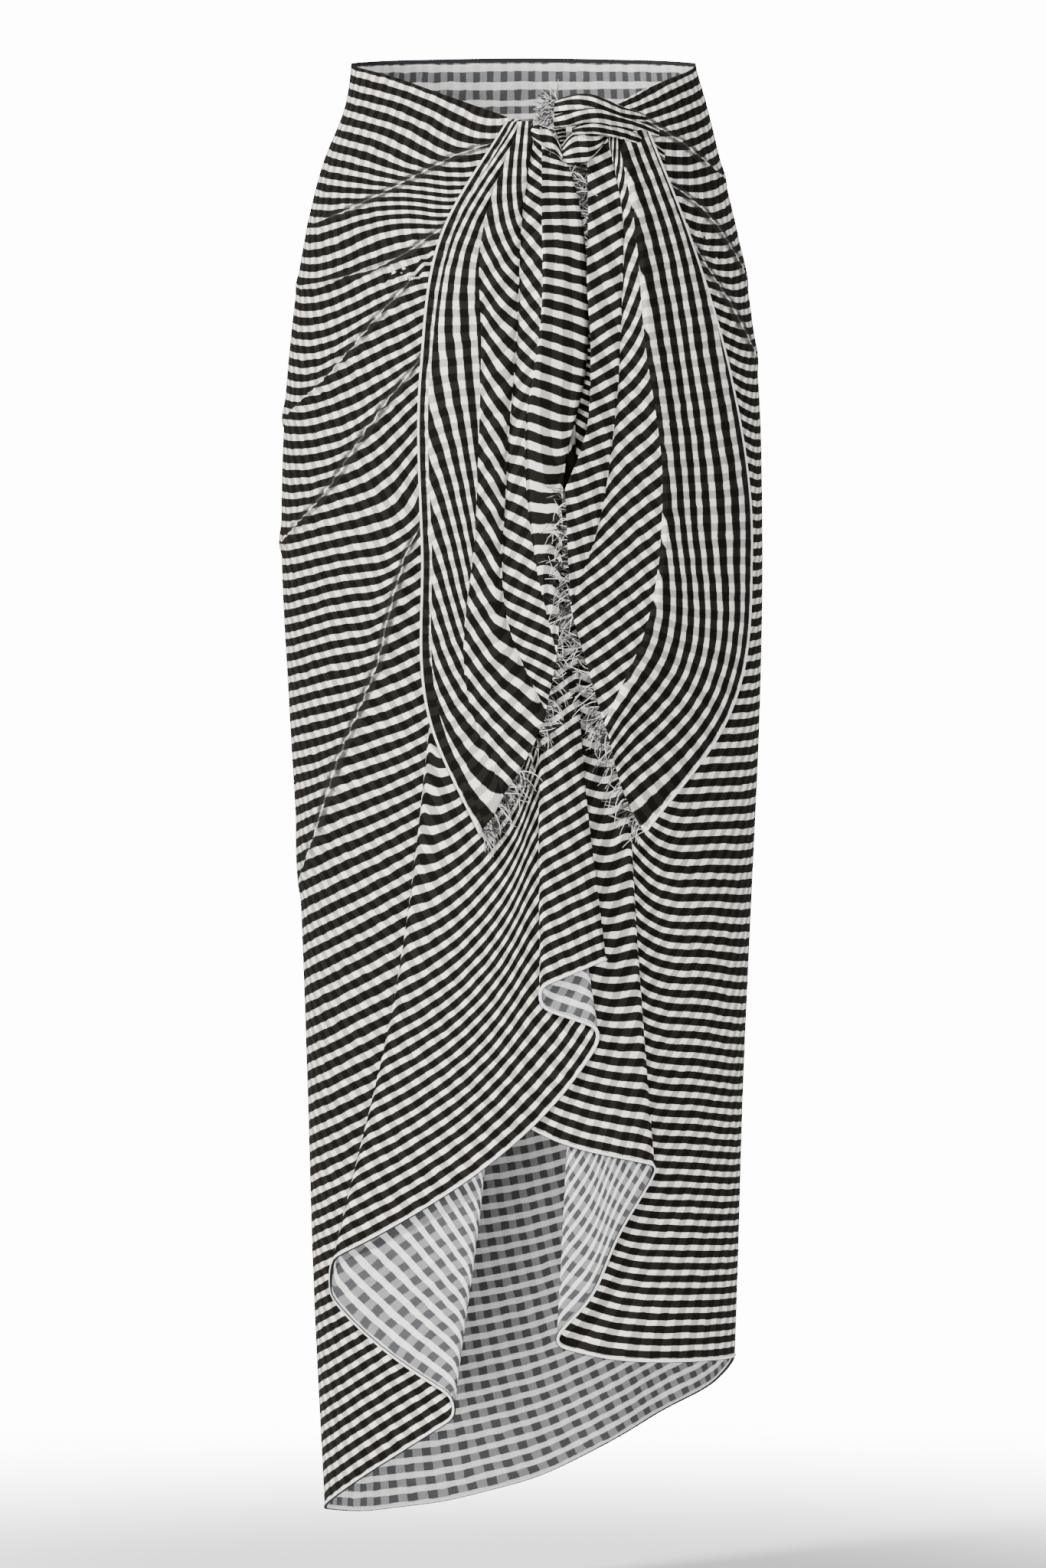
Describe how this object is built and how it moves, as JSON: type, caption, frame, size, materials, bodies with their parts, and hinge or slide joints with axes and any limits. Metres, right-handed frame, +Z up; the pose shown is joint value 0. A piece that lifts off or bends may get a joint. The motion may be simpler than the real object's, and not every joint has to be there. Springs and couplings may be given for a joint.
{
  "type": "sarong",
  "caption": "Long striped crinkled cotton sarong wrapped round the hips, its two top corners tied in a front knot, with a rising, folded front hem and fringed ends.",
  "frame": {"origin": "middle of the waist opening, level with the cloth's edge at the two sides", "axes": "+Z up out of the waist, -Y to the front where the knot is, +X to the viewer's right"},
  "size_m": [0.3521, 0.2784, 1.0774],
  "materials": {
    "front_over": "matt crinkled cotton",
    "front_under": "matt crinkled cotton",
    "wrap_back": "matt crinkled cotton",
    "tail_left": "matt crinkled cotton",
    "tail_right": "matt crinkled cotton",
    "knot_band": "matt crinkled cotton",
    "knot_lobe": "matt crinkled cotton",
    "fringe_left": "loose cotton threads",
    "fringe_upper": "loose cotton threads",
    "fringe_right": "loose cotton threads",
    "fringe_band": "loose cotton threads"
  },
  "bodies": {
    "root": {"front_over": "front_over", "front_under": "front_under", "wrap_back": "wrap_back", "tail_left": "tail_left", "tail_right": "tail_right", "knot_band": "knot_band", "knot_lobe": "knot_lobe", "fringe_left": "fringe_left", "fringe_upper": "fringe_upper", "fringe_right": "fringe_right", "fringe_band": "fringe_band"}
  },
  "joints": []
}
